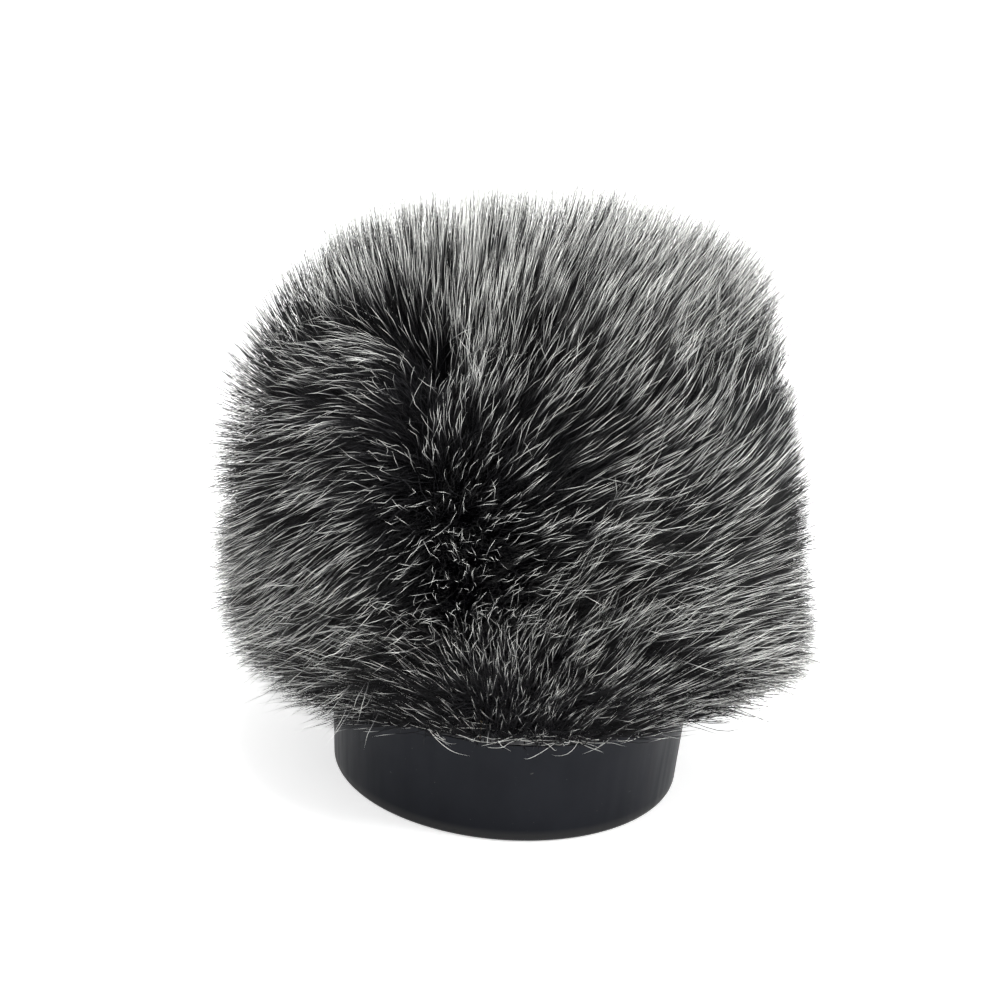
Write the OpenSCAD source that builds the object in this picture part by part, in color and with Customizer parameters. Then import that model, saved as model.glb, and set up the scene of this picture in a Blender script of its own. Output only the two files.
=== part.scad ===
// Slip-on furry windscreen for a microphone: a foam-lined sleeve of long-pile fur fabric, glued
// to a moulded rubber collar. The microphone goes up through the collar into the foam.
// The origin is the middle of the collar's foot, +Z points to the top, and the side seam faces -Y.

/* [Collar] */
// Outside diameter of the collar at its foot
collar_d = 45; // [44:0.5:46]
// How much wider the collar's radius is at the hem than at the foot
collar_flare = 0.9; // [0.5:0.1:1.2]
// Height of the collar that shows below the fur
collar_h = 14; // [10:0.5:16]
// Height of the hidden neck that the hem is glued to
neck_h = 6; // [5:0.5:8]
// Wall of the hidden neck
neck_wall = 2; // [1.5:0.1:2.2]
// Diameter of the hole that the microphone goes into
bore_d = 40; // [38:0.5:40]

/* [Foam] */
// Wall of the foam sleeve
foam_wall = 5; // [4:0.5:6]
// Depth of the hole, from the collar's foot to the foam disc
cavity_depth = 44; // [38:0.5:46]
// Thickness of the foam disc
foam_top = 6; // [5:0.5:8]

/* [Fur] */
// Thickness of the knitted ground fabric
fabric_t = 1; // [0.8:0.1:1.2]
// Thickness of the dense underfur
underfur_t = 4; // [3:0.5:5]
// Diameter over the guard hair
fur_d = 74; // [70:1:80]
// Height of the whole windscreen
total_h = 65; // [62:1:70]

/* [Seams] */
// Direction of the side seam round the axis, with -90 at the front
seam_angle = -98; // [-120:1:-60]
// Distance from one stitch to the next along the side seam
side_pitch = 2.5; // [2:0.5:4]
// Number of stitches round the top seam
top_stitches = 48; // [24:4:60]

/* [Hidden] */
$fn = 96;

// Radii and heights of the collar
collar_r = collar_d / 2;
bore_r = bore_d / 2;
neck_r = bore_r + neck_wall;
neck_z = collar_h + neck_h;
foot_round = 0.8;
lead_in = 0.8;

// The foam core: the sleeve stands on the neck, and the disc closes it
glue_t = 0.3;
foam_r = bore_r + foam_wall;
sleeve_z = neck_z + glue_t;
disc_z = cavity_depth + glue_t;
core_z = disc_z + foam_top;
core_foot = 3;
core_shoulder = foam_top;

// The middle of the core's shoulder arc: every layer of the cover has its arc about this point
shoulder_x = foam_r - core_shoulder;
shoulder_z = core_z - core_shoulder;

// The ground fabric is the core grown by its thickness, with its hem on the neck
fabric_r = foam_r + fabric_t;
fabric_shoulder = core_shoulder + fabric_t;
hem_in = neck_r + glue_t;
hem_out = hem_in + fabric_t;

// The pile: the underfur grows from the fabric, and the guard hair stands out of it
pile_foot = collar_h + 0.6;
underfur_r = fabric_r + underfur_t;
underfur_shoulder = fabric_shoulder + underfur_t;
underfur_foot = 6;
fur_r = fur_d / 2;
fur_foot = 11;
fur_shoulder = 14;

// Stitches
thread_d = 0.5;
stitch = 2.4;
slit = 0.4;
stitch_room = 0.1;

// Further than any solid reaches, for the cutting shapes
far = 2 * total_h;

// Right half of a drum's profile, with its lower and upper edges rounded
module drum_2d(r, z0, z1, foot, shoulder) {
    polygon([
        [0, z0], [r - foot, z0], [r, z0 + foot],
        [r, z1 - shoulder], [r - shoulder, z1], [0, z1]
    ]);
    translate([r - foot, z0 + foot]) circle(foot);
    translate([r - shoulder, z1 - shoulder]) circle(shoulder);
}

// Everything on the top panel's side of the top seam, which leaves the shoulder at 45 degrees
module above_seam_2d() {
    polygon([
        [0, shoulder_z], [shoulder_x, shoulder_z],
        [shoulder_x + far, shoulder_z + far], [0, shoulder_z + far]
    ]);
}

// Everything outside radius r
module outside_2d(r) {
    translate([r, 0]) square([far, far]);
}

// Space round the stitches of the top seam
module top_stitch_room_2d() {
    translate([shoulder_x, shoulder_z])
        rotate(45)
            translate([fabric_shoulder - stitch_room, -stitch / 2 - stitch_room])
                square([thread_d + 2 * stitch_room, stitch + 2 * stitch_room]);
}

// Box along the side seam, between two radii
module seam_box(r0, r1, w, z0, z1) {
    rotate(seam_angle)
        translate([r0, -w / 2, z0])
            cube([r1 - r0, w, z1 - z0]);
}

module core_2d() {
    drum_2d(foam_r, sleeve_z, core_z, core_foot, core_shoulder);
}

// Outside of the ground fabric, without its hem
module fabric_outline_2d() {
    drum_2d(fabric_r, sleeve_z - fabric_t, core_z + fabric_t, core_foot + fabric_t, fabric_shoulder);
}

module fabric_shell_2d() {
    difference() {
        fabric_outline_2d();
        core_2d();
    }
}

// Outside of the underfur
module underfur_outline_2d() {
    drum_2d(underfur_r, pile_foot, core_z + fabric_t + underfur_t, underfur_foot, underfur_shoulder);
}

module underfur_2d() {
    difference() {
        underfur_outline_2d();
        fabric_outline_2d();
        top_stitch_room_2d();
    }
}

module guard_hair_2d() {
    difference() {
        drum_2d(fur_r, pile_foot, total_h, fur_foot, fur_shoulder);
        underfur_outline_2d();
    }
}

// Moulded rubber collar: a flared skirt that shows, and a narrower neck inside the fur
module rubber_collar() {
    hem_r = collar_r + collar_flare;
    color([0.13, 0.13, 0.14])
        rotate_extrude() {
            polygon([
                [bore_r + lead_in, 0], [collar_r - foot_round, 0], [collar_r, foot_round],
                [hem_r, collar_h], [neck_r, collar_h], [neck_r, neck_z],
                [bore_r, neck_z], [bore_r, lead_in]
            ]);
            translate([collar_r - foot_round, foot_round]) circle(foot_round);
        }
}

// Foam tube that stands on the collar's neck
module foam_sleeve() {
    color([0.2, 0.2, 0.21])
        rotate_extrude()
            intersection() {
                core_2d();
                translate([bore_r, sleeve_z]) square([foam_wall, cavity_depth - sleeve_z]);
            }
}

// Foam disc over the end of the sleeve
module foam_top_disc() {
    color([0.22, 0.22, 0.23])
        rotate_extrude()
            intersection() {
                core_2d();
                translate([0, disc_z]) square([foam_r, foam_top]);
            }
}

// Film of glue as a flat ring
module glue_ring(r0, r1, z0, z1) {
    color([0.75, 0.7, 0.55])
        rotate_extrude()
            translate([r0, z0]) square([r1 - r0, z1 - z0]);
}

module foam_adhesive() {
    glue_ring(bore_r + glue_t, neck_r, neck_z, sleeve_z);
}

module disc_adhesive() {
    glue_ring(bore_r + glue_t, foam_r - glue_t, cavity_depth, disc_z);
}

module hem_adhesive() {
    glue_ring(neck_r, hem_in, collar_h, sleeve_z - fabric_t - stitch_room);
}

// Ground fabric of the side: a strip bent into a tube, open by a slit along its seam
module side_fabric() {
    color([0.08, 0.08, 0.09])
        difference() {
            rotate_extrude()
                union() {
                    intersection() {
                        difference() {
                            fabric_shell_2d();
                            above_seam_2d();
                        }
                        outside_2d(neck_r);
                    }
                    translate([hem_in, collar_h]) square([fabric_t, neck_h]);
                }
            seam_box(bore_r, fur_r, slit, 0, core_z);
        }
}

// Ground fabric of the round top panel
module top_fabric() {
    color([0.09, 0.09, 0.1])
        rotate_extrude()
            intersection() {
                fabric_shell_2d();
                above_seam_2d();
            }
}

// Dense short pile of the side, with a channel inside it for the seam's stitches
module side_underfur() {
    color([0.1, 0.1, 0.11])
        difference() {
            rotate_extrude()
                intersection() {
                    difference() {
                        underfur_2d();
                        above_seam_2d();
                    }
                    outside_2d(hem_out);
                }
            seam_box(
                bore_r, fabric_r + thread_d + stitch_room, stitch + 2 * stitch_room,
                sleeve_z + core_foot - stitch, shoulder_z
            );
        }
}

// Dense short pile of the top
module top_underfur() {
    color([0.11, 0.11, 0.12])
        rotate_extrude()
            intersection() {
                underfur_2d();
                above_seam_2d();
            }
}

// Long guard hair of the side
module side_guard_hair() {
    color([0.45, 0.45, 0.46])
        rotate_extrude()
            intersection() {
                difference() {
                    guard_hair_2d();
                    above_seam_2d();
                }
                outside_2d(hem_out);
            }
}

// Long guard hair of the top
module top_guard_hair() {
    color([0.55, 0.55, 0.56])
        rotate_extrude()
            intersection() {
                guard_hair_2d();
                above_seam_2d();
            }
}

// Stitches across the slit of the side seam
module side_seam_thread() {
    first = sleeve_z + core_foot + thread_d;
    last = shoulder_z - thread_d;
    color([0.04, 0.04, 0.04])
        for (z = [first:side_pitch:last])
            rotate(seam_angle)
                translate([fabric_r + thread_d / 2, 0, z])
                    rotate([90, 0, 0])
                        cylinder(d = thread_d, h = stitch, center = true);
}

// Stitches across the seam between the side and the top
module top_seam_thread() {
    color([0.04, 0.04, 0.04])
        for (i = [0:top_stitches - 1])
            rotate(i * 360 / top_stitches)
                translate([shoulder_x, 0, shoulder_z])
                    rotate([0, -45, 0])
                        translate([fabric_shoulder + thread_d / 2, 0, 0])
                            cylinder(d = thread_d, h = stitch, center = true);
}

rubber_collar();
foam_sleeve();
foam_top_disc();
foam_adhesive();
disc_adhesive();
hem_adhesive();
side_fabric();
top_fabric();
side_underfur();
top_underfur();
side_guard_hair();
top_guard_hair();
side_seam_thread();
top_seam_thread();
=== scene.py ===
"""Looks for the furry microphone windscreen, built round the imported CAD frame.

Lengths are in metres. An azimuth is measured round the axis from the front (-Y) towards the right (+X).
"""

import math

import bmesh
import bpy
import numpy as np
from mathutils import Matrix, Vector, kdtree


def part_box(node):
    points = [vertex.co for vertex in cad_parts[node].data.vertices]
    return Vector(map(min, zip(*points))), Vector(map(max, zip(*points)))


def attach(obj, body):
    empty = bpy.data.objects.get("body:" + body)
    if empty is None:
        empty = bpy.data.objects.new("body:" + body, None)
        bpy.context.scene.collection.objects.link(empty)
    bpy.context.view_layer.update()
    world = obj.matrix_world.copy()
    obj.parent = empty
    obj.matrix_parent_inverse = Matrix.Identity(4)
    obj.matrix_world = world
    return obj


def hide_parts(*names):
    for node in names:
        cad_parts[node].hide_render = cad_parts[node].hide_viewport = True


MM = 0.001
BAKE_MAP = "OFBake"
# Width of one strand's strip on the bake map
STRIP = 0.008
rng = np.random.default_rng(754)

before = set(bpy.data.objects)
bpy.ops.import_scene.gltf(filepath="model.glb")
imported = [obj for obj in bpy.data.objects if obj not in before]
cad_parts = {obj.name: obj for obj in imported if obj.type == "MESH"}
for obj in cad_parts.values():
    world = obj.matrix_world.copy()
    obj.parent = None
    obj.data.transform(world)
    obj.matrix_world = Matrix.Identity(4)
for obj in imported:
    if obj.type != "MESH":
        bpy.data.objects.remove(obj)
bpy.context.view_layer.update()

# Places that the looks take from the frame
neck_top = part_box("rubber_collar")[1].z
sleeve_foot, sleeve_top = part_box("foam_sleeve")
disc_foot, disc_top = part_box("foam_top_disc")
foam_r = disc_top.x
fabric_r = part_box("side_fabric")[1].x
fabric_foot_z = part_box("side_fabric")[0].z
fabric_top_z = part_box("top_fabric")[1].z
fabric_t = fabric_r - foam_r

# Radii of the ground fabric's shoulder and foot arcs and of its hem, as in the CAD source
SHOULDER = 7.0 * MM
FOOT = 4.0 * MM
HEM_R = 23.3 * MM
# The height at which the hair starts, and how far the foot arc reaches below the neck's top
HEM_Z = 14.4 * MM
FOOT_DROP = 1.0 * MM
# Round the foot arc the hair slants down by only this share of the fabric's slant. On the hem it slants as
# at the end of the arc
FOOT_LIFT = 0.3
shoulder_x = fabric_r - SHOULDER
shoulder_z = fabric_top_z - SHOULDER
foot_x = fabric_r - FOOT
foot_z = neck_top - FOOT_DROP + FOOT


# ---------------------------------------------------------------- camera and light

# The photograph's view, fitted to the collar's foot
CAMERA_DISTANCE = 0.400
CAMERA_ELEVATION = math.radians(27.02)
CAMERA_AIM = Vector((-0.00317, 0.0, 0.03699))
CAMERA_ROLL = math.radians(4.36)
CAMERA_LENS = 108.5


def add_camera():
    """The camera looks down at the front, rolled a little so that the windscreen leans to the right."""
    place = CAMERA_DISTANCE * Vector((0, -math.cos(CAMERA_ELEVATION), math.sin(CAMERA_ELEVATION)))
    ahead = (CAMERA_AIM - place).normalized()
    right = ahead.cross(Vector((0, 0, 1))).normalized()
    up = right.cross(ahead)
    rolled_right = math.cos(CAMERA_ROLL) * right + math.sin(CAMERA_ROLL) * up
    rolled_up = math.cos(CAMERA_ROLL) * up - math.sin(CAMERA_ROLL) * right
    turn = Matrix((rolled_right, rolled_up, -ahead)).transposed().to_4x4()
    data = bpy.data.cameras.new("camera")
    data.lens = CAMERA_LENS
    data.clip_start = 0.01
    data.clip_end = 100
    camera = bpy.data.objects.new("camera", data)
    camera.matrix_world = Matrix.Translation(place) @ turn
    bpy.context.scene.collection.objects.link(camera)
    bpy.context.scene.camera = camera


def add_area_light(name, place, target, width, height, power):
    """A rectangular light at place, turned towards target."""
    data = bpy.data.lights.new(name, "AREA")
    data.shape = "RECTANGLE"
    data.size = width
    data.size_y = height
    data.energy = power
    light = bpy.data.objects.new(name, data)
    light.location = place
    light.rotation_euler = (Vector(target) - Vector(place)).to_track_quat("-Z", "Y").to_euler()
    bpy.context.scene.collection.objects.link(light)


def add_light():
    """A white room, with a soft overhead light and a soft light on each side."""
    world = bpy.data.worlds.new("room")
    world.use_nodes = True
    background = world.node_tree.nodes["Background"]
    background.inputs["Color"].default_value = (1, 1, 1, 1)
    background.inputs["Strength"].default_value = 0.75
    bpy.context.scene.world = world
    middle = (0, 0, 0.04)
    add_area_light("overhead", (0.1, -0.15, 0.9), middle, 0.5, 0.5, 13)
    add_area_light("left", (-0.7, -0.1, 0.35), middle, 0.3, 0.5, 1.5)
    add_area_light("right", (0.7, -0.1, 0.35), middle, 0.3, 0.5, 4)
    bpy.context.scene.view_settings.view_transform = "Standard"


# ---------------------------------------------------------------- node helpers


def new_material(name):
    """A material with a Principled shader, as (material, nodes, links, shader)."""
    material = bpy.data.materials.new(name)
    material.use_nodes = True
    tree = material.node_tree
    return material, tree.nodes, tree.links, tree.nodes["Principled BSDF"]


def ramp(nodes, links, factor, stops):
    """A colour ramp read at factor. stops are (place, grey or colour)."""
    node = nodes.new("ShaderNodeValToRGB")
    while len(node.color_ramp.elements) < len(stops):
        node.color_ramp.elements.new(0.5)
    for element, (place, colour) in zip(node.color_ramp.elements, stops, strict=True):
        element.position = place
        element.color = (*colour, 1)
    links.new(factor, node.inputs["Fac"])
    return node.outputs["Color"]


def noise(nodes, links, scale, detail=3.0, stretch=(1, 1, 1)):
    """Noise in the object's own coordinates, whose sizes are in millimetres."""
    coordinates = nodes.new("ShaderNodeTexCoord")
    mapping = nodes.new("ShaderNodeMapping")
    mapping.inputs["Scale"].default_value = tuple(s / MM for s in stretch)
    texture = nodes.new("ShaderNodeTexNoise")
    texture.inputs["Scale"].default_value = scale
    texture.inputs["Detail"].default_value = detail
    links.new(coordinates.outputs["Object"], mapping.inputs["Vector"])
    links.new(mapping.outputs["Vector"], texture.inputs["Vector"])
    return texture.outputs["Fac"]


def height(nodes, links, low, high):
    """0 at the height low and 1 at high, in the object's own coordinates."""
    coordinates = nodes.new("ShaderNodeTexCoord")
    split = nodes.new("ShaderNodeSeparateXYZ")
    scale = nodes.new("ShaderNodeMapRange")
    scale.inputs["From Min"].default_value = low
    scale.inputs["From Max"].default_value = high
    links.new(coordinates.outputs["Object"], split.inputs["Vector"])
    links.new(split.outputs["Z"], scale.inputs["Value"])
    return scale.outputs["Result"]


def mix(nodes, links, factor, first, second):
    """The socket first where factor is 0, and second, a socket or a fixed colour, where it is 1."""
    node = nodes.new("ShaderNodeMix")
    node.data_type = "RGBA"
    links.new(factor, node.inputs["Factor"])
    links.new(first, node.inputs[6])
    if isinstance(second, tuple):
        node.inputs[7].default_value = (*second, 1)
    else:
        links.new(second, node.inputs[7])
    return node.outputs[2]


def bump(nodes, links, relief, strength, distance, shader):
    """Fine relief. Distance is the depth of the relief, in metres."""
    node = nodes.new("ShaderNodeBump")
    node.inputs["Strength"].default_value = strength
    node.inputs["Distance"].default_value = distance
    links.new(relief, node.inputs["Height"])
    links.new(node.outputs["Normal"], shader.inputs["Normal"])


# ---------------------------------------------------------------- materials


def rubber_material():
    """Matt black moulded rubber: a fine grain, faint upright streaks, smudges and dust, and a painted
    highlight along the lower rim.
    """
    material, nodes, links, shader = new_material("collar_rubber")
    smudges = noise(nodes, links, 0.12, 4)
    blacks = [(0.35, (0.0022, 0.003, 0.0055)), (0.7, (0.0045, 0.0055, 0.0085))]
    colour = ramp(nodes, links, smudges, blacks)
    specks = ramp(nodes, links, noise(nodes, links, 1.6, 2), [(0.74, (0,) * 3), (0.78, (1,) * 3)])
    colour = mix(nodes, links, specks, colour, (0.04, 0.04, 0.04))
    # A paler band round the foot of the collar: a painted highlight along its rounded lower edge
    painted_rim_highlight = ramp(nodes, links, height(nodes, links, 0, neck_top), [(0.05, (1,) * 3), (0.09, (0,) * 3)])
    colour = mix(nodes, links, painted_rim_highlight, colour, (0.018, 0.018, 0.019))
    links.new(colour, shader.inputs["Base Color"])
    streaks = noise(nodes, links, 0.8, 3, (1, 1, 0.06))
    rough = ramp(nodes, links, streaks, [(0.3, (0.38,) * 3), (0.7, (0.52,) * 3)])
    links.new(rough, shader.inputs["Roughness"])
    shader.inputs["Specular IOR Level"].default_value = 0.1
    bump(nodes, links, noise(nodes, links, 5, 3), 0.25, 0.02 * MM, shader)
    return material


def foam_material():
    """Charcoal open-cell foam: darker noise patches between paler ones, painted shade that stands for the
    shaded cells between the struts.
    """
    material, nodes, links, shader = new_material("foam")
    # Painted shade: the darker patches stand for the shade in the cells
    painted_cell_shade = noise(nodes, links, 1.4, 5)
    colour = ramp(nodes, links, painted_cell_shade, [(0.35, (0.012, 0.012, 0.014)), (0.65, (0.075, 0.075, 0.082))])
    links.new(colour, shader.inputs["Base Color"])
    shader.inputs["Roughness"].default_value = 0.95
    shader.inputs["Specular IOR Level"].default_value = 0.15
    bump(nodes, links, noise(nodes, links, 3.5, 4), 0.6, 0.2 * MM, shader)
    return material


def knit_material():
    """Black knitted ground fabric, with paler noise patches: a painted highlight that stands for light on
    the crowns of its loops.
    """
    material, nodes, links, shader = new_material("knit")
    # Painted highlight: the paler patches stand for light on the loops' crowns
    painted_crown_highlight = noise(nodes, links, 2.5, 4)
    colour = ramp(nodes, links, painted_crown_highlight, [(0.3, (0.006, 0.006, 0.007)), (0.75, (0.035, 0.035, 0.038))])
    links.new(colour, shader.inputs["Base Color"])
    shader.inputs["Roughness"].default_value = 0.9
    shader.inputs["Sheen Weight"].default_value = 0.2
    bump(nodes, links, noise(nodes, links, 6, 3), 0.5, 0.08 * MM, shader)
    return material


def glue_material():
    """Dried amber contact glue, brushed on unevenly."""
    material, nodes, links, shader = new_material("adhesive")
    patches = noise(nodes, links, 0.5, 4)
    colour = ramp(nodes, links, patches, [(0.3, (0.30, 0.20, 0.08)), (0.7, (0.62, 0.50, 0.28))])
    links.new(colour, shader.inputs["Base Color"])
    gloss = ramp(nodes, links, noise(nodes, links, 1.5, 2), [(0.3, (0.2,) * 3), (0.7, (0.45,) * 3)])
    links.new(gloss, shader.inputs["Roughness"])
    bump(nodes, links, noise(nodes, links, 1.2, 3), 0.5, 0.1 * MM, shader)
    return material


def strand_material(name, dark, pale):
    """Hair. The bake map's U is how pale the strand is, and its V runs from root to tip."""
    material, nodes, links, shader = new_material(name)
    place = nodes.new("ShaderNodeUVMap")
    place.uv_map = BAKE_MAP
    split = nodes.new("ShaderNodeSeparateXYZ")
    links.new(place.outputs["UV"], split.inputs["Vector"])
    dark_strand = ramp(nodes, links, split.outputs["Y"], dark)
    pale_strand = ramp(nodes, links, split.outputs["Y"], pale)
    paleness = ramp(nodes, links, split.outputs["X"], [(0.05, (0,) * 3), (0.95, (1,) * 3)])
    links.new(mix(nodes, links, paleness, dark_strand, pale_strand), shader.inputs["Base Color"])
    shader.inputs["Roughness"].default_value = 0.5
    shader.inputs["Specular IOR Level"].default_value = 0.08
    return material


# ---------------------------------------------------------------- the ground fabric's outline


def fabric_outline(step=0.1 * MM):
    """The fabric's outline from its hem to the middle of the top.

    Gives levels, radii, heights and the hair's normals. A level is the length along the outline from the
    foot arc's start, so the hem has levels below 0.
    """
    hem_turn = math.acos((HEM_R - foot_x) / FOOT)
    hem_end_z = foot_z - FOOT * math.sin(hem_turn)
    pieces = []
    for z in np.arange(HEM_Z, hem_end_z, step):
        pieces.append((HEM_R, z, -FOOT_LIFT * hem_turn))
    for a in np.arange(-hem_turn, 0, step / FOOT):
        pieces.append((foot_x + FOOT * math.cos(a), foot_z + FOOT * math.sin(a), FOOT_LIFT * a))
    for z in np.arange(foot_z, shoulder_z, step):
        pieces.append((fabric_r, z, 0.0))
    for a in np.arange(0, math.pi / 2, step / SHOULDER):
        pieces.append((shoulder_x + SHOULDER * math.cos(a), shoulder_z + SHOULDER * math.sin(a), a))
    for r in np.arange(shoulder_x, 0, -step):
        pieces.append((r, fabric_top_z, math.pi / 2))
    r, z, rise = np.array(pieces).T
    along = np.concatenate([[0], np.cumsum(np.hypot(np.diff(r), np.diff(z)))])
    return along - (hem_end_z - HEM_Z), r, z, np.cos(rise), np.sin(rise)


LEVELS, OUTLINE_R, OUTLINE_Z, OUTLINE_NR, OUTLINE_NZ = fabric_outline()
HEM = float(LEVELS[0])
TOP_END = float(LEVELS[-1])
# The top seam is half way round the shoulder arc
above_side = OUTLINE_Z > shoulder_z
TOP_SEAM = float(np.interp(math.sin(math.pi / 4), OUTLINE_NZ[above_side], LEVELS[above_side]))


def on_fabric(level, azimuth):
    """Points, outward normals, and the rightward and upward tangents of the fabric there."""
    r = np.interp(level, LEVELS, OUTLINE_R)
    z = np.interp(level, LEVELS, OUTLINE_Z)
    nr = np.interp(level, LEVELS, OUTLINE_NR)
    nz = np.interp(level, LEVELS, OUTLINE_NZ)
    length = np.hypot(nr, nz)
    nr, nz = nr / length, nz / length
    out_x, out_y = np.sin(azimuth), -np.cos(azimuth)
    point = np.stack([r * out_x, r * out_y, z], 1)
    normal = np.stack([nr * out_x, nr * out_y, nz], 1)
    right = np.stack([np.cos(azimuth), np.sin(azimuth), np.zeros_like(azimuth)], 1)
    up = np.stack([-nz * out_x, -nz * out_y, nr], 1)
    return point, normal, right, up


# The fabric's area from the hem up to each level
AREAS = 2 * math.pi * np.concatenate([[0], np.cumsum(OUTLINE_R[:-1] * np.diff(LEVELS))])

# Steps of a sequence that fills a square evenly: the plastic number's inverse, and that squared
TURN_STEP = 0.7548776662
SHARE_STEP = 0.5698402910
# Random offset from that sequence, as a share of the distance between neighbours
JITTER = 0.3


def scatter(count, low, high):
    """Evenly spread roots between two levels, as levels and azimuths."""
    first, last = np.interp([low, high], LEVELS, AREAS)
    turn = np.arange(count) * TURN_STEP
    share = np.arange(count) * SHARE_STEP
    jitter = JITTER / math.sqrt(count)
    share = (share + rng.uniform(0, 1) + rng.normal(0, jitter, count)) % 1
    turn = (turn + rng.uniform(0, 1) + rng.normal(0, jitter, count)) % 1
    level = np.interp(first + share * (last - first), AREAS, LEVELS)
    return level, (turn * 2 - 1) * math.pi


# ---------------------------------------------------------------- combing

# The parting's azimuth at each level along the fabric, in degrees
PARTING_LEVELS = np.array([0, 8, 16, 24, 30, 36, 42, 52]) * MM
PARTING = np.radians([-5, -14, -18, -20, -24, -35, -44, -60])
PARTING_BLUR = math.radians(3)

# Combing directions, in degrees: 0 is to the right, 90 is up and -180 is to the left. The columns are
# azimuths to the right of the parting, right round to its left side, and the rows are levels.
COMB_COLUMNS = np.radians([0, 10, 20, 30, 45, 60, 80, 110, 145, 180, 215, 250, 285, 320, 345, 352, 360])
COMB_LEVELS = np.array([0, 8, 16, 24, 30, 34]) * MM
COMB = np.radians([
    [90, 88, 78, 64, 46, 20, 8, 0, -30, -85, -120, -150, -175, -160, -215, -240, -270],
    [100, 84, 82, 68, 24, -12, -28, -30, -45, -85, -120, -148, -158, -166, -156, -190, -250],
    [75, 58, 58, 44, 24, 10, -4, -16, -40, -85, -120, -147, -150, -146, -142, -142, -180],
    [60, 44, 42, 42, 40, 45, 38, 10, -35, -85, -120, -150, -146, -138, -126, -122, -150],
    [62, 42, 38, 35, 38, 58, 60, 50, -15, -85, -120, -155, -212, -165, -128, -122, -150],
    [80, 62, 50, 43, 43, 60, 75, 70, -30, -85, -120, -180, -262, -205, -138, -130, -150],
])

# Lean of the tips from the fabric's normal, in degrees, and length of the guard hair, in millimetres. The
# rows are levels, and the columns run round from the back past the left, the front and the right.
SHAPE_LEVELS = np.array([-5, 0, 6, 12, 20, 27, 30, 33, 36, 39, 44, 61]) * MM
SHAPE_COLUMNS = np.radians([-140, -90, -45, 0, 90, 140])
LEAN = np.radians([
    [74, 74, 76, 80, 74, 74],
    [68, 68, 72, 76, 66, 68],
    [70, 70, 72, 73, 64, 70],
    [72, 72, 73, 73, 68, 72],
    [72, 69, 70, 69, 74, 72],
    [58, 57, 64, 70, 78, 62],
    [42, 34, 62, 68, 62, 46],
    [26, 20, 50, 54, 24, 30],
    [12, 8, 24, 42, 28, 15],
    [18, 22, 16, 36, 31, 25],
    [18, 20, 14, 32, 28, 25],
    [18, 18, 18, 24, 22, 18],
])
LENGTH = MM * np.array([
    [10, 12, 11, 11, 13, 10],
    [16.5, 18, 17, 16.5, 19.5, 16.5],
    [18.5, 21.5, 19.5, 18, 22, 18.5],
    [20, 23, 20.5, 18.5, 20, 20],
    [20.5, 23.5, 20, 18, 17.3, 20.5],
    [20.5, 22.5, 17.5, 17, 15, 20.5],
    [21.5, 20.3, 15.5, 17, 16.5, 21.5],
    [23, 22, 15.5, 17.5, 20, 23],
    [25, 24.5, 16.5, 18.5, 24.5, 27],
    [26, 25.4, 17, 19.5, 27, 28.2],
    [26, 25.5, 20, 21.5, 27, 28.2],
    [25.6, 25.6, 25.6, 25.6, 25.6, 25.6],
])
# No hair stands higher than this, and each one's own limit is a little lower
FUR_TOP = 76.7 * MM
FUR_TOP_SPREAD = 0.4 * MM

# Hair beside the parting stands up more, is curlier and has all lengths down to a share of the usual one.
# That reaches this far round on each side, and starts, is full, is still full and ends at these levels
PARTING_WIDTH = math.radians(30)
PARTING_FADE = np.array([0, 10, 34, 41]) * MM
PARTING_LEAN = 0.5
PARTING_SHORTEST = 0.42
CURL = 0.5 * MM
CURL_TURNS = 1.1

# On the left of the front shoulder the hair stands up, and its tips then bend over flat to the left. Where
# that starts, is full, is still full and ends, in azimuth and in level
TUFT_AZIMUTHS = np.radians([-72, -60, -40, -28])
TUFT_LEVELS = np.array([27, 31, 38, 41]) * MM
TUFT_LEAN = math.radians(105)
TUFT_BEND = 1.6
# How much of the usual lean the roots have there
TUFT_ROOT_LEAN = 0.4
# How the lean grows along a hair elsewhere: the power of the length's share
BEND = 0.5

# The root's lean as a share of the tip's: the usual one, and the one at the front of the hem, which fades
# out up to this level and this far round on each side
ROOT_LEAN = 0.25
HEM_ROOT_LEAN = 0.75
HEM_LEVEL = 12 * MM
HEM_WIDTH = math.radians(80)

# Between these levels the hair goes over to spreading out from the crown, a point to the left of the axis
# and a little behind it
TOP_START = 33 * MM
TOP_FULL = 38 * MM
CROWN_LEFT = 10 * MM
CROWN_BEHIND = 2 * MM
# Within this distance of the crown, the nearer hair is, the straighter it stands up
CROWN_R = 10 * MM

# Ruffled patches, where hairs cross: azimuths in degrees and levels
RUFFLED = [(20, 24 * MM), (-60, 39 * MM), (-75, 31 * MM), (-5, 38 * MM), (-30, 12 * MM)]
RUFFLED_SPREAD = 3 * MM

# A strand wanders in two waves. The second has this many times the turns of the first, and this share of
# its size
SECOND_WAVE = (2.4, 0.4)


def table(rows, row_levels, columns, level, azimuth):
    """Reads rows of values, linearly between the levels and between the azimuths."""
    by_level = np.stack([np.interp(azimuth, columns, row) for row in rows])
    place = np.interp(level, row_levels, np.arange(len(row_levels)))
    below = np.minimum(place.astype(int), len(row_levels) - 2)
    share = place - below
    index = np.arange(len(level))
    return by_level[below, index] * (1 - share) + by_level[below + 1, index] * share


def right_of_parting(level, azimuth):
    """How far round to the right of the parting, which is blurred."""
    blur = rng.normal(0, PARTING_BLUR, len(level))
    return (azimuth + blur - np.interp(level, PARTING_LEVELS, PARTING)) % (2 * math.pi)


def ruffled(level, azimuth):
    """1 in the middle of each ruffled patch, falling to 0 round it."""
    share = np.zeros(len(level))
    for degrees, middle in RUFFLED:
        sideways = (azimuth - math.radians(degrees)) * fabric_r
        share += np.exp(-(sideways ** 2 + (level - middle) ** 2) / RUFFLED_SPREAD ** 2)
    return share


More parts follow.
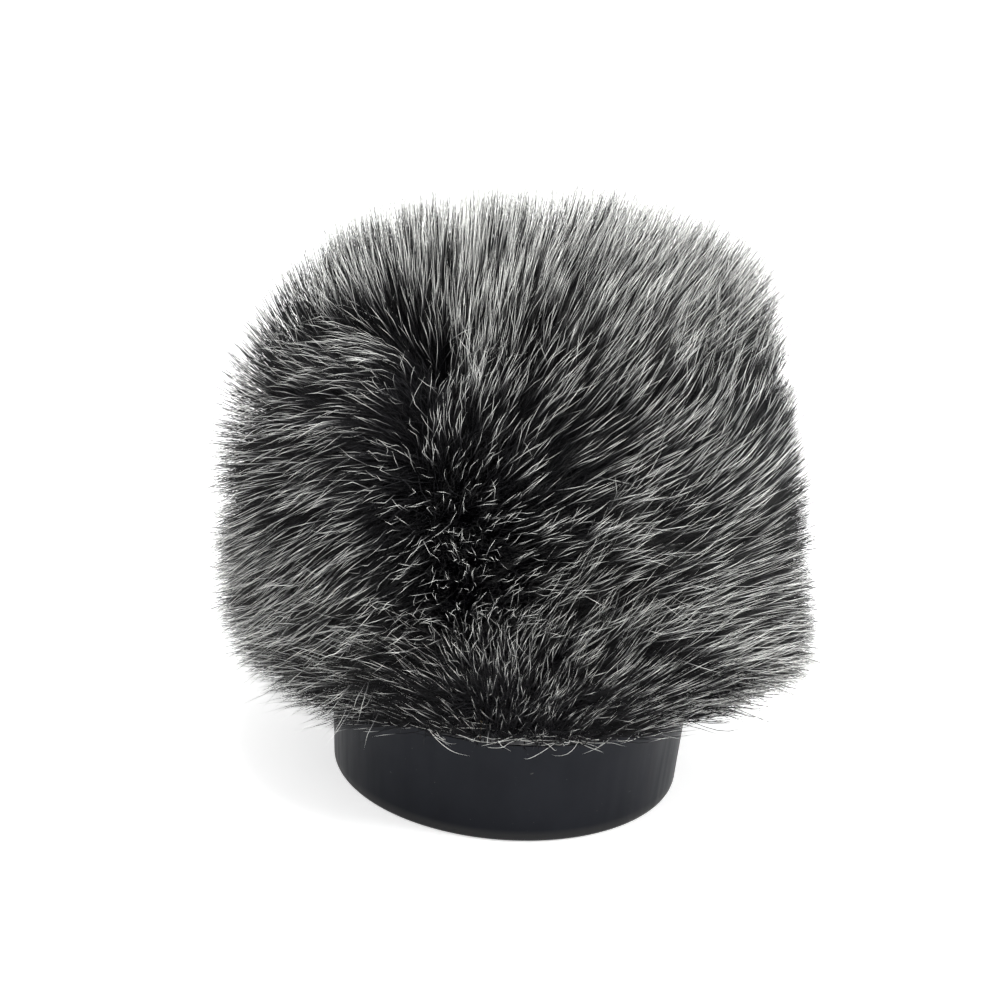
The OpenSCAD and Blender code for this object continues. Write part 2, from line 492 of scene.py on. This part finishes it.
def root_lean(level, azimuth, tip):
    """Lean of the roots from the fabric's normal, for a lean of the tips."""
    at_front_hem = (1 - smooth(level / HEM_LEVEL)) * (1 - smooth(np.abs(azimuth) / HEM_WIDTH))
    share = ROOT_LEAN + (HEM_ROOT_LEAN - ROOT_LEAN) * at_front_hem
    return tip * share * (1 - (1 - TUFT_ROOT_LEAN) * in_tuft(level, azimuth))


def in_tuft(level, azimuth):
    """1 in the tuft of bent tips, falling to 0 round it."""
    rise = [0, 1, 1, 0]
    return smooth(np.interp(azimuth, TUFT_AZIMUTHS, rise)) * smooth(np.interp(level, TUFT_LEVELS, rise))


def in_parting(level, azimuth):
    """1 at the parting, falling to 0 beside it and above and below it."""
    turn = right_of_parting(level, azimuth)
    beside = smooth(np.minimum(turn, 2 * math.pi - turn) / PARTING_WIDTH)
    return (1 - beside) * np.interp(level, PARTING_FADE, [0, 1, 1, 0])


def tip_lean(level, azimuth):
    """Lean of the tips from the fabric's normal."""
    lean = table(LEAN, SHAPE_LEVELS, SHAPE_COLUMNS, level, azimuth)
    lean *= 1 - (1 - PARTING_LEAN) * in_parting(level, azimuth)
    at_crown = 1 - np.linalg.norm(from_crown(on_fabric(level, azimuth)[0]), axis=1) / CROWN_R
    lean *= 1 - on_top(level) * smooth(at_crown)
    return lean + (TUFT_LEAN - lean) * in_tuft(level, azimuth)


def on_top(level):
    """0 below the top panel and 1 on it."""
    return smooth((level - TOP_START) / (TOP_FULL - TOP_START))


def from_crown(point):
    """Horizontal offset from the crown."""
    return point * (1, 1, 0) + (CROWN_LEFT, -CROWN_BEHIND, 0)


def hair_length(level, azimuth):
    """The guard hair's usual length."""
    return table(LENGTH, SHAPE_LEVELS, SHAPE_COLUMNS, level, azimuth)


def smooth(x):
    """0 below 0 and 1 above 1, with a smooth rise between."""
    x = np.clip(x, 0, 1)
    return x * x * (3 - 2 * x)


def comb(level, azimuth):
    """Unit vectors along the fabric in which the hair rooted there is combed."""
    point, normal, right, up = on_fabric(level, azimuth)
    angle = table(COMB, COMB_LEVELS, COMB_COLUMNS, level, right_of_parting(level, azimuth))
    side = np.cos(angle)[:, None] * right + np.sin(angle)[:, None] * up
    share = (on_top(level) * (1 - in_tuft(level, azimuth)))[:, None]
    mixed = side * (1 - share) + unit(from_crown(point)) * share
    mixed -= np.sum(mixed * normal, 1, keepdims=True) * normal
    return unit(mixed)


def unit(v):
    """The vectors v, each made 1 long."""
    return v / np.maximum(np.linalg.norm(v, axis=-1, keepdims=True), 1e-12)


def curves(level, azimuth, length, lean_root, lean_tip, swing, rings):
    """Centre lines that leave the fabric and bend over in the combing direction, turned by swing."""
    point, normal, _, _ = on_fabric(level, azimuth)
    flow = comb(level, azimuth)
    across = np.cross(normal, flow)
    flow = np.cos(swing)[:, None] * flow + np.sin(swing)[:, None] * across
    u = np.linspace(0, 1, rings)
    bend = BEND + (TUFT_BEND - BEND) * in_tuft(level, azimuth)
    lean = lean_root[:, None] + (lean_tip - lean_root)[:, None] * u[None, :] ** bend[:, None]
    heading = np.cos(lean)[..., None] * normal[:, None] + np.sin(lean)[..., None] * flow[:, None]
    steps = (heading[:, 1:] + heading[:, :-1]) / 2 * (length / (rings - 1))[:, None, None]
    path = np.concatenate([np.zeros((len(level), 1, 3)), np.cumsum(steps, 1)], 1)
    return point[:, None] + path, np.cross(normal, flow)


def wander(count, rings, size, turns=0.5):
    """A smooth random sideways offset along each strand, nothing at the root."""
    u = np.linspace(0, 1, rings)[None, :, None]
    waves = np.zeros((count, rings, 3))
    for ratio, share in ((1, 1), SECOND_WAVE):
        phase = rng.uniform(0, 2 * math.pi, (count, 1, 3))
        amount = rng.normal(0, 1, (count, 1, 3)) * share
        waves += amount * (np.sin(2 * math.pi * ratio * turns * u + phase) - np.sin(phase))
    return waves * size * u


def gather(path, middle, strength, power):
    """Draws each strand towards its wisp's middle, more and more towards the tip."""
    u = np.linspace(0, 1, path.shape[1]) ** power
    return path + (middle - path) * (strength[:, None] * u[None, :])[..., None]


def nearest(points, centres):
    """Index of the nearest centre to each point."""
    tree = kdtree.KDTree(len(centres))
    for i, c in enumerate(centres):
        tree.insert(c, i)
    tree.balance()
    return np.array([tree.find(p)[1] for p in points])


# ---------------------------------------------------------------- strand meshes


def add_piece(name, mesh):
    """A piece of the model that rides on the frame's one body."""
    piece = bpy.data.objects.new(name, mesh)
    bpy.context.scene.collection.objects.link(piece)
    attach(piece, "root")
    return piece


def add_mesh(name, vertices, faces, uv, material):
    """A smooth mesh piece. faces is (corners, sizes), and uv has one pair for each corner."""
    corners, sizes = faces
    mesh = bpy.data.meshes.new(name)
    mesh.vertices.add(len(vertices))
    mesh.vertices.foreach_set("co", vertices.astype(np.float32).ravel())
    mesh.loops.add(len(corners))
    mesh.loops.foreach_set("vertex_index", corners.astype(np.int32))
    mesh.polygons.add(len(sizes))
    mesh.polygons.foreach_set("loop_start", (np.cumsum(sizes) - sizes).astype(np.int32))
    mesh.polygons.foreach_set("use_smooth", np.ones(len(sizes), bool))
    mesh.update(calc_edges=True)
    layer = mesh.uv_layers.new(name=BAKE_MAP)
    layer.data.foreach_set("uv", uv.astype(np.float32).ravel())
    mesh.materials.append(material)
    return add_piece(name, mesh)


def strand_mesh(name, path, side, radius, tone, material, sides=3, first_v=0.01):
    """Closed strands as one mesh, each ending in a point.

    path is (strands, rings, 3), side a vector across each strand, and radius (strands, rings). The
    bake map's U is the strand's tone, and V runs from first_v at its root to its tip.
    """
    count, rings, _ = path.shape
    ahead = unit(np.gradient(path, axis=1))
    across = unit(np.cross(ahead, side[:, None]))
    over = np.cross(across, ahead)
    turn = 2 * math.pi * np.arange(sides) / sides
    ring = (across[:, :-1, None] * np.cos(turn)[None, None, :, None]
            + over[:, :-1, None] * np.sin(turn)[None, None, :, None])
    tube = path[:, :-1, None] + ring * radius[:, :-1, None, None]
    vertices = np.concatenate([tube.reshape(count, -1, 3), path[:, -1:]], 1)
    per_strand = vertices.shape[1]

    quads = []
    for i in range(rings - 2):
        for k in range(sides):
            low, next_low = i * sides + k, i * sides + (k + 1) % sides
            quads.append((low, next_low, next_low + sides, low + sides))
    last = (rings - 2) * sides
    tip = [(last + k, last + (k + 1) % sides, per_strand - 1) for k in range(sides)]
    root = [tuple(range(sides))[::-1]]
    one = quads + tip + root
    corners = np.array([c for face in one for c in face])
    sizes = np.array([len(face) for face in one])
    start = np.arange(count)[:, None] * per_strand
    faces = (start + corners[None]).ravel(), np.tile(sizes, count)

    v = np.append(np.repeat(np.linspace(first_v, 0.99, rings)[:-1], sides), 0.99)
    within = np.append(np.tile(np.arange(sides) * STRIP / sides, rings - 1), STRIP / 2)
    u = STRIP + tone[:, None] * (1 - 3 * STRIP) + within[None, :]
    uv = np.stack([u[:, corners], np.broadcast_to(v[corners], (count, len(corners)))], -1)
    return add_mesh(name, vertices.reshape(-1, 3), faces, uv, material)


def add_sectors(node, slot, azimuth, path, side, radius, tone, material, sectors):
    """Splits strands into pieces by azimuth, named after the CAD node that they replace."""
    sector = np.floor((azimuth / (2 * math.pi) % 1) * sectors).astype(int)
    for i in range(sectors):
        pick = sector == i
        piece = strand_mesh(f"{node}_{i + 1}", path[pick], side[pick], radius[pick], tone[pick], material)
        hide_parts(node)


# Numbers of strands on each panel, and of the pieces that they are split into
SIDE_UNDERFUR, SIDE_UNDERFUR_PIECES = 30000, 4
TOP_UNDERFUR, TOP_UNDERFUR_PIECES = 8000, 1
SIDE_GUARD, SIDE_GUARD_PIECES = 60000, 13
TOP_GUARD, TOP_GUARD_PIECES = 16000, 4
FRINGE = 120

# A taper is shares of a strand's length, and the shares of the strand's radius that are left there. Each
# strand's radius is a random share of the usual one, and pale guard hairs are thicker than black ones
GUARD_RINGS = 8
GUARD_RADIUS = 0.049 * MM
GUARD_RADII = (0.8, 1.15)
TONE_RADII = (0.9, 1.15)
GUARD_TAPER = ([0, 0.3, 0.7, 1], [0.8, 1, 0.75, 0.08])
# Locks, and the wisps in them: their spacing, the random swing and lean of each in degrees, and the spread
# of its share of the usual length
LOCKS = (6 * MM, 5, 3, 0.02)
WISPS = (1.4 * MM, 8, 5, 0.03)
LENGTH_SHARES = (0.92, 1.015)
# Each hair's own random swing, lean and wandering
OWN_SWING = math.radians(8)
OWN_LEAN = math.radians(6)
OWN_WANDER = 0.25 * MM
# Its share of its wisp's length: the mean, the spread, the extra spread on the top panel, and the limits
OWN_LENGTH = 0.97
OWN_LENGTH_SPREAD, TOP_LENGTH_SPREAD = 0.07, 0.06
OWN_LENGTHS = (0.6, 1.03)
# How far it is drawn to its wisp, and the power of the length's share with which that grows
DRAWN = (0.05, 0.45)
DRAWN_POWER = 1.5
# Share of hairs that go astray, and how many times looser they are
STRAYS, STRAY_LOOSENESS = 0.06, 3
# How much looser hair gets on the top panel and in the ruffled patches
TOP_LOOSENESS = 0.5
RUFFLED_LOOSENESS = 5
# Lean and wandering grow with this power of the looseness
LOOSE_POWER = 0.7
# Length of the black hairs, as a share of the pale ones'
DARK_LENGTH = 0.84
# Tones of the pale and the black hairs, where 1 is the palest
PALE_TONES = (0.3, 1)
DARK_TONES = (0, 0.03)
# Share of pale hairs: the rows are levels, and the columns are as for the hair's shape. Beside the fur's
# own uneven grizzle, the shares hold painted light and shade: fewer pale hairs on the lower left than on
# the lower right, and more high up the side than low down, darken and lighten those parts as the light
# falls.
PALE_LEVELS = np.array([0, 8, 22, 30, 38]) * MM
PALE_SHARE_WITH_PAINTED_LIGHT = [
    [0.28, 0.18, 0.20, 0.50, 0.58, 0.28],
    [0.19, 0.13, 0.12, 0.29, 0.11, 0.19],
    [0.24, 0.20, 0.24, 0.20, 0.02, 0.24],
    [0.34, 0.44, 0.52, 0.27, 0.20, 0.34],
    [0.32, 0.44, 0.43, 0.15, 0.37, 0.30],
]
# Hair at the hem has all lengths down to this share, and hair at the other level has only the usual one
SHORTEST_AT_HEM = 0.35
USUAL_LENGTH_LEVEL = 5 * MM

# The underfur's lean and swing, its length at the hem, at the foot arc and above it, each fibre's share of
# that length, and its radius
DOWN_LEAN = math.radians(52)
DOWN_LEAN_SPREAD = math.radians(12)
DOWN_SWING = math.radians(25)
DOWN_LEVELS = [HEM, 0, 8 * MM]
DOWN_LENGTH = [2 * MM, 4 * MM, 8 * MM]
DOWN_LENGTH_SPREAD = 0.2
DOWN_LENGTHS = (0.5, 1.4)
DOWN_WANDER = 0.5 * MM
DOWN_RINGS = 5
DOWN_RADIUS = 0.09 * MM
DOWN_RADII = (0.8, 1.2)
DOWN_TAPER = ([0, 0.6, 1], [1, 0.8, 0.1])

# How far the fringe reaches each way along the hem, how high above it, and the shapes of its hairs
FRINGE_WIDTH = math.radians(75)
FRINGE_HEIGHTS = (0.4 * MM, 2.5 * MM)
FRINGE_RINGS = 16
FRINGE_TURN = math.radians(12)
FRINGE_LENGTH, FRINGE_LENGTH_SPREAD = 5 * MM, 2 * MM
FRINGE_LENGTHS = (2 * MM, 11 * MM)
FRINGE_RISE = (0.5 * MM, 2 * MM)
FRINGE_WANDER = 0.4 * MM
FRINGE_CURLS = 0.7
# A few of its hairs are curlier: how much, and their share
CURLIER, CURLIER_SHARE = 2.2, 0.12
FRINGE_RADII = (0.7, 1.1)
FRINGE_TAPER = ([0, 0.7, 1], [1, 0.8, 0.1])
FRINGE_TONES = (0.5, 1)


def grouped(root, low, high, spacing, swing, lean, spread):
    """Groups the roots round random guides, and gives each root what its guide has.

    That is a swing, a lean, a share of the usual length, and the guide's place as (level, azimuth).
    """
    first_area, last_area = np.interp([low, high], LEVELS, AREAS)
    level, azimuth = scatter(int((last_area - first_area) / spacing ** 2), low, high)
    count = len(level)
    turned = rng.normal(0, math.radians(swing), count)
    leaned = rng.normal(0, math.radians(lean), count)
    share = np.clip(rng.normal(1, spread, count), *LENGTH_SHARES)
    owner = nearest(root, on_fabric(level, azimuth)[0])
    return turned[owner], leaned[owner], share[owner], (level[owner], azimuth[owner])


def guard_curves(level, azimuth, length, swing, lean):
    """Centre lines and side vectors of guard hair. Lean is added to the tips' usual lean."""
    tip = tip_lean(level, azimuth) + lean
    return curves(level, azimuth, length, root_lean(level, azimuth, tip), tip, swing, GUARD_RINGS)


def tapered(radius, rings, taper):
    """Radii of every ring of strands that have these radii of their own."""
    return radius[:, None] * np.interp(np.linspace(0, 1, rings), *taper)[None, :]


def guard_hair(count, low, high):
    """Long hairs between two levels: azimuths, centre lines, side vectors, radii and tones.

    Each hair belongs to a lock and to a smaller wisp, and is drawn towards its wisp's middle.
    """
    level, azimuth = scatter(count, low, high)
    root = on_fabric(level, azimuth)[0]
    lock_swing, lock_lean, lock_length, _ = grouped(root, low, high, *LOCKS)
    wisp_swing, wisp_lean, wisp_length, wisp = grouped(root, low, high, *WISPS)
    swing = lock_swing + wisp_swing
    lean = lock_lean + wisp_lean
    length = hair_length(level, azimuth) * lock_length * wisp_length
    middle, _ = guard_curves(*wisp, length, swing, lean)

    # Which hairs are pale follows the shares, which hold painted light and shade as well as the fur's own
    # grizzle
    pale = rng.uniform(0, 1, count) < table(PALE_SHARE_WITH_PAINTED_LIGHT, PALE_LEVELS, SHAPE_COLUMNS, level, azimuth)
    tone = np.where(pale, rng.uniform(*PALE_TONES, count) ** 0.5, rng.uniform(*DARK_TONES, count))
    stray = rng.uniform(0, 1, count) < STRAYS
    loose = np.where(stray, STRAY_LOOSENESS, 1) + TOP_LOOSENESS * on_top(level)
    loose += RUFFLED_LOOSENESS * ruffled(level, azimuth)
    own_swing = swing + rng.normal(0, OWN_SWING, count) * loose
    own_lean = lean + rng.normal(0, OWN_LEAN, count) * loose ** LOOSE_POWER
    spread = OWN_LENGTH_SPREAD + TOP_LENGTH_SPREAD * on_top(level)
    own_length = length * np.clip(rng.normal(OWN_LENGTH, spread, count), *OWN_LENGTHS)
    shortest = np.interp(level, [HEM, USUAL_LENGTH_LEVEL], [SHORTEST_AT_HEM, 1])
    own_length *= rng.uniform(shortest * (1 - (1 - PARTING_SHORTEST) * in_parting(level, azimuth)), 1)
    own_length *= np.where(pale, 1, DARK_LENGTH)
    path, side = guard_curves(level, azimuth, own_length, own_swing, own_lean)
    path = gather(path, middle, rng.uniform(*DRAWN, count) / loose, DRAWN_POWER)
    path += wander(count, GUARD_RINGS, OWN_WANDER) * loose[:, None, None] ** LOOSE_POWER
    path += wander(count, GUARD_RINGS, CURL, CURL_TURNS) * in_parting(level, azimuth)[:, None, None]
    room = FUR_TOP - np.abs(rng.normal(0, FUR_TOP_SPREAD, count)) - root[:, 2]
    rise = np.maximum(path[..., 2].max(1) - root[:, 2], 1e-9)
    path = root[:, None] + (path - root[:, None]) * np.minimum(1, room / rise)[:, None, None]

    radius = GUARD_RADIUS * np.interp(tone, [0, 1], TONE_RADII) * rng.uniform(*GUARD_RADII, count)
    return azimuth, path, side, tapered(radius, GUARD_RINGS, GUARD_TAPER), tone


def underfur(count, low, high):
    """Short dense dark fibres between two levels, as guard_hair gives them."""
    level, azimuth = scatter(count, low, high)
    tip = rng.normal(DOWN_LEAN, DOWN_LEAN_SPREAD, count)
    length = np.interp(level, DOWN_LEVELS, DOWN_LENGTH)
    length *= np.clip(rng.normal(1, DOWN_LENGTH_SPREAD, count), *DOWN_LENGTHS)
    swing = rng.normal(0, DOWN_SWING, count)
    root = root_lean(level, azimuth, tip)
    path, side = curves(level, azimuth, length, root, tip, swing, DOWN_RINGS)
    path += wander(count, DOWN_RINGS, DOWN_WANDER)
    radius = tapered(DOWN_RADIUS * rng.uniform(*DOWN_RADII, count), DOWN_RINGS, DOWN_TAPER)
    return azimuth, path, side, radius, rng.uniform(0, 1, count)


def fringe(count):
    """Pale curly strays that lie along the front of the hem, as guard_hair gives them without azimuths."""
    azimuth = rng.uniform(-FRINGE_WIDTH, FRINGE_WIDTH, count)
    point, normal, right, up = on_fabric(HEM + rng.uniform(*FRINGE_HEIGHTS, count), azimuth)
    turn = rng.normal(0, FRINGE_TURN, count) + math.pi * rng.integers(0, 2, count)
    length = np.clip(rng.normal(FRINGE_LENGTH, FRINGE_LENGTH_SPREAD, count), *FRINGE_LENGTHS)
    u = np.linspace(0, 1, FRINGE_RINGS)
    ahead = np.cos(turn)[:, None] * right + np.sin(turn)[:, None] * up
    rise = rng.uniform(*FRINGE_RISE, count)[:, None] * np.sin(u * 2)[None, :]
    reach = length[:, None] * u[None, :]
    path = point[:, None] + ahead[:, None] * reach[..., None] + normal[:, None] * rise[..., None]
    curls = wander(count, FRINGE_RINGS, FRINGE_WANDER, FRINGE_CURLS)
    path += curls * rng.choice([1, CURLIER], (count, 1, 1), p=[1 - CURLIER_SHARE, CURLIER_SHARE])
    radius = tapered(GUARD_RADIUS * rng.uniform(*FRINGE_RADII, count), FRINGE_RINGS, FRINGE_TAPER)
    return path, np.cross(normal, ahead), radius, rng.uniform(*FRINGE_TONES, count)


def add_fur():
    """The underfur and the guard hair of both panels, and the fringe at the hem."""
    hair = strand_material(
        "guard_hair",
        [(0.0, (0.005, 0.005, 0.006)), (0.8, (0.009, 0.009, 0.010)), (1.0, (0.06, 0.061, 0.058))],
        [(0.69, (0.008, 0.008, 0.009)), (0.79, (0.25, 0.25, 0.25)), (0.86, (0.96, 0.97, 0.93))],
    )
    down = strand_material(
        "underfur",
        [(0.0, (0.005, 0.005, 0.006)), (1.0, (0.012, 0.012, 0.014))],
        [(0.0, (0.006, 0.006, 0.007)), (1.0, (0.035, 0.035, 0.038))],
    )
    add_sectors("side_underfur", "underfur",
                *underfur(SIDE_UNDERFUR, HEM, TOP_SEAM), down, SIDE_UNDERFUR_PIECES)
    add_sectors("top_underfur", "underfur",
                *underfur(TOP_UNDERFUR, TOP_SEAM, TOP_END), down, TOP_UNDERFUR_PIECES)
    add_sectors("side_guard_hair", "guard_hair",
                *guard_hair(SIDE_GUARD, HEM, TOP_SEAM), hair, SIDE_GUARD_PIECES)
    add_sectors("top_guard_hair", "guard_hair",
                *guard_hair(TOP_GUARD, TOP_SEAM, TOP_END), hair, TOP_GUARD_PIECES)
    # Its strands are pale from the root on
    strays = strand_mesh("hem_fringe", *fringe(FRINGE), hair, first_v=0.82)
    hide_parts("side_guard_hair")


# ---------------------------------------------------------------- foam and knit

# Radius of the bore, and of the sleeve's lower outer edge, as in the CAD source
BORE_R = 20.0 * MM
FOAM_FOOT = 3.0 * MM
# Distance between the points of the turned surfaces, and the number of points on an arc of their outlines
FINE = 0.45 * MM
ARC_POINTS = 25
# Mean distance between pores, their depth, and their smallest and largest radius as shares of the distance
PORE_SPACING = 1.3 * MM
PORE_DEPTH = 0.45 * MM
PORE_SIZES = (0.5, 0.95)
LOOP_WIDTH = 2.0 * MM
LOOP_HEIGHT = 1.6 * MM
LOOP_DEPTH = 0.12 * MM
# How far each loop leans into its neighbour, as a share of its height
LOOP_LEAN = 0.25
# The side seam's slit in the fabric, as in the CAD source
SEAM_AZIMUTH = math.radians(-8)
SLIT = 0.4 * MM


def arc(x, z, radius, start, end):
    """Points of an arc in the (radius, height) plane, from one angle in degrees to another."""
    angles = np.radians(np.linspace(start, end, ARC_POINTS))
    return [(x + radius * math.cos(a), z + radius * math.sin(a)) for a in angles]


def resample(outline, step):
    """The outline's points, evenly spaced by about step, and their lengths along it."""
    outline = np.array(outline)
    along = np.concatenate([[0], np.cumsum(np.hypot(*np.diff(outline, axis=0).T))])
    even = np.linspace(0, along[-1], round(along[-1] / step) + 1)
    points = [np.interp(even, along, outline[:, 0]), np.interp(even, along, outline[:, 1])]
    return np.stack(points, 1), even


def outline_normals(outline):
    """Outward normals of a counter-clockwise outline, which is closed or runs from axis to axis."""
    ahead = np.gradient(outline, axis=0)
    if outline[0, 0] > 0:
        ahead[0] = ahead[-1] = outline[1] - outline[-2]
    ahead = unit(ahead)
    return np.stack([ahead[:, 1], -ahead[:, 0]], 1)


def lathe(name, outline, relief, material, slit=0.0):
    """Turns a (radius, height) outline round the axis into a closed piece whose surface has relief.

    relief takes the points, their azimuths and their lengths along the outline, and gives outward offsets.
    slit is the half angle of a radial cut at the side seam.
    """
    outline, along = resample(outline, FINE)
    steps = round(2 * math.pi * outline[:, 0].max() / FINE)
    azimuth = SEAM_AZIMUTH + np.linspace(slit, 2 * math.pi - slit, steps + 1)
    a, length = np.meshgrid(azimuth, along, indexing="ij")
    out = np.stack([np.sin(a), -np.cos(a), np.zeros_like(a)], -1)
    up = np.array([0.0, 0.0, 1.0])
    points = outline[:, :1] * out + outline[:, 1:] * up
    normals = outline_normals(outline)
    points = points + (normals[:, :1] * out + normals[:, 1:] * up) * relief(points, a, length)[..., None]

    rows = len(outline)
    start = (np.arange(steps)[:, None] * rows + np.arange(rows - 1)[None]).ravel()
    faces = np.stack([start, start + rows, start + rows + 1, start + 1], 1).tolist()
    if slit:
        faces.append(list(range(rows - 1)))
        faces.append([steps * rows + i for i in range(rows - 1)][::-1])
    mesh = bpy.data.meshes.new(name)
    mesh.from_pydata(points.reshape(-1, 3).tolist(), [], faces)
    welded = bmesh.new()
    welded.from_mesh(mesh)
    bmesh.ops.remove_doubles(welded, verts=welded.verts, dist=1e-3 * MM)
    welded.to_mesh(mesh)
    welded.free()
    mesh.polygons.foreach_set("use_smooth", np.ones(len(mesh.polygons), bool))
    mesh.materials.append(material)
    return add_piece(name, mesh)


def pores(points, _azimuth, _along):
    """Round pores of several sizes, sunk into the surface."""
    places = points.reshape(-1, 3)
    girth = np.hypot(places[:, 0], places[:, 1])
    count = int(len(places) * (FINE / PORE_SPACING) ** 2)
    centres = places[rng.choice(len(places), count, replace=False, p=girth / girth.sum())]
    sizes = rng.uniform(*PORE_SIZES, count) * PORE_SPACING
    tree = kdtree.KDTree(count)
    for i, centre in enumerate(centres):
        tree.insert(centre, i)
    tree.balance()
    found = [tree.find(place) for place in places]
    share = np.array([distance / sizes[i] for _, i, distance in found])
    return -PORE_DEPTH * (1 - np.minimum(share, 1) ** 2).reshape(points.shape[:-1])


def round_knit(_points, azimuth, along):
    """Rows of loops that run round the axis, with sunken gaps between them."""
    wales = round(2 * math.pi * fabric_r / LOOP_WIDTH)
    courses = round(along[0, -1] / LOOP_HEIGHT)
    lean = LOOP_LEAN * np.cos(azimuth * wales)
    course = np.abs(np.sin(math.pi * (along / along[0, -1] * courses + lean)))
    return LOOP_DEPTH * (np.abs(np.sin(azimuth * wales / 2)) * course - 1)


def flat_knit(points, _azimuth, _along):
    """Straight rows of loops, as on a panel cut from flat fabric."""
    wale = math.pi * points[..., 0] / LOOP_WIDTH
    course = math.pi * points[..., 1] / LOOP_HEIGHT + LOOP_LEAN * math.pi * np.cos(2 * wale)
    return LOOP_DEPTH * (np.abs(np.sin(wale) * np.sin(course)) - 1)


def add_foam():
    """The foam sleeve, and the disc that closes it."""
    material = foam_material()
    shoulder = disc_top.z - disc_foot.z
    sleeve = lathe("foam_sleeve_open_cell", [
        (BORE_R, sleeve_foot.z), *arc(foam_r - FOAM_FOOT, sleeve_foot.z + FOAM_FOOT, FOAM_FOOT, -90, 0),
        (foam_r, sleeve_top.z), (BORE_R, sleeve_top.z), (BORE_R, sleeve_foot.z),
    ], pores, material)
    disc = lathe("foam_disc_open_cell", [
        (0, disc_foot.z), *arc(foam_r - shoulder, disc_foot.z, shoulder, 0, 90), (0, disc_top.z),
    ], pores, material)
    for piece, node in ((sleeve, "foam_sleeve"), (disc, "foam_top_disc")):
        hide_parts(node)


def add_knit():
    """The ground fabric's two panels: a strip bent into a tube, and a round panel over the top."""
    material = knit_material()
    inner = SHOULDER - fabric_t
    foot = FOOT - fabric_t
    hem_in = HEM_R - fabric_t
    outer_turn = math.degrees(math.acos((HEM_R - foot_x) / FOOT))
    inner_turn = math.degrees(math.acos((hem_in - foot_x) / foot))
    side = lathe("side_fabric_knit", [
        (hem_in, fabric_foot_z), (HEM_R, fabric_foot_z), *arc(foot_x, foot_z, FOOT, -outer_turn, 0),
        *arc(shoulder_x, shoulder_z, SHOULDER, 0, 45), *arc(shoulder_x, shoulder_z, inner, 45, 0),
        *arc(foot_x, foot_z, foot, 0, -inner_turn), (hem_in, fabric_foot_z),
    ], round_knit, material, slit=SLIT / 2 / fabric_r)
    top = lathe("top_fabric_knit", [
        (0, fabric_top_z - fabric_t), *arc(shoulder_x, shoulder_z, inner, 90, 45),
        *arc(shoulder_x, shoulder_z, SHOULDER, 45, 90), (0, fabric_top_z),
    ], flat_knit, material)
    for piece, node in ((side, "side_fabric"), (top, "top_fabric")):
        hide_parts(node)


# ---------------------------------------------------------------- stitches

# The thread's radius, the stitches' length, and their spacing and number, as in the CAD source
THREAD_R = 0.25 * MM
STITCH = 2.4 * MM
SIDE_PITCH = 2.5 * MM
TOP_STITCHES = 48
# Points along a ply, its sides, and how often the plies twist round each other
STITCH_RINGS = 25
PLY_SIDES = 6
STITCH_TWISTS = 3


def stitches(name, node, middle, out, along):
    """Two-ply stitches: each leaves the fabric, runs along it past its middle, and goes back in."""
    t = np.linspace(-1, 1, STITCH_RINGS)
    run = STITCH / 2 * np.sin(math.pi / 2 * t)[None, :, None]
    # From three radii below the fabric's surface to one above it
    rise = THREAD_R * (4 * np.cos(math.pi / 2 * t) ** 0.4 - 3)[None, :, None]
    spine = middle[:, None] + run * along[:, None] + rise * out[:, None]
    beside = np.cross(out, along)
    twist = math.pi * STITCH_TWISTS * t[None, :, None]
    offset = THREAD_R / 2 * (np.cos(twist) * out[:, None] + np.sin(twist) * beside[:, None])
    path = np.concatenate([spine + offset, spine - offset])
    material = strand_material(
        "thread",
        [(0.0, (0.004, 0.004, 0.005)), (0.5, (0.010, 0.010, 0.012)), (1.0, (0.004, 0.004, 0.005))],
        [(0.0, (0.012, 0.012, 0.014)), (0.5, (0.030, 0.030, 0.034)), (1.0, (0.012, 0.012, 0.014))],
    )
    side = np.concatenate([beside, beside])
    radius = np.full(path.shape[:2], THREAD_R / 2)
    tone = rng.uniform(0, 1, len(path))
    piece = strand_mesh(name, path, side, radius, tone, material, PLY_SIDES)
    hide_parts(node)


def add_thread():
    """The side seam's row of stitches and the top seam's ring of them."""
    low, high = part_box("side_seam_thread")
    z = np.arange(low.z + THREAD_R, high.z, SIDE_PITCH)
    out = np.tile([math.sin(SEAM_AZIMUTH), -math.cos(SEAM_AZIMUTH), 0.0], (len(z), 1))
    right = np.tile([math.cos(SEAM_AZIMUTH), math.sin(SEAM_AZIMUTH), 0.0], (len(z), 1))
    up = np.array([0.0, 0.0, 1.0])
    stitches("side_seam_stitches", "side_seam_thread", out * fabric_r + z[:, None] * up, out, right)
    azimuth = math.pi / 2 + 2 * math.pi * np.arange(TOP_STITCHES) / TOP_STITCHES
    middle, out, _, up = on_fabric(np.full(TOP_STITCHES, TOP_SEAM), azimuth)
    stitches("top_seam_stitches", "top_seam_thread", middle, out, up)


# ---------------------------------------------------------------- stage


def add_floor():
    """A plain pale floor, which isn't part of the object."""
    half = 3.0
    corners = [(-half, -half, 0), (half, -half, 0), (half, half, 0), (-half, half, 0)]
    mesh = bpy.data.meshes.new("floor")
    mesh.from_pydata(corners, [], [(0, 1, 2, 3)])
    material, _, _, shader = new_material("floor")
    shader.inputs["Base Color"].default_value = (0.9, 0.9, 0.9, 1)
    shader.inputs["Roughness"].default_value = 0.9
    shader.inputs["Specular IOR Level"].default_value = 0.1
    shader.inputs["Emission Color"].default_value = (1, 1, 1, 1)
    shader.inputs["Emission Strength"].default_value = 0.5
    mesh.materials.append(material)
    floor = bpy.data.objects.new("floor", mesh)
    bpy.context.scene.collection.objects.link(floor)


def set_material(node, material):
    """Gives a CAD node that stays in view a better material."""
    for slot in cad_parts[node].material_slots:
        slot.material = material


add_camera()
add_light()
add_floor()
set_material("rubber_collar", rubber_material())
glue = glue_material()
for film in ("foam_adhesive", "disc_adhesive", "hem_adhesive"):
    set_material(film, glue)
add_foam()
add_knit()
add_thread()
add_fur()
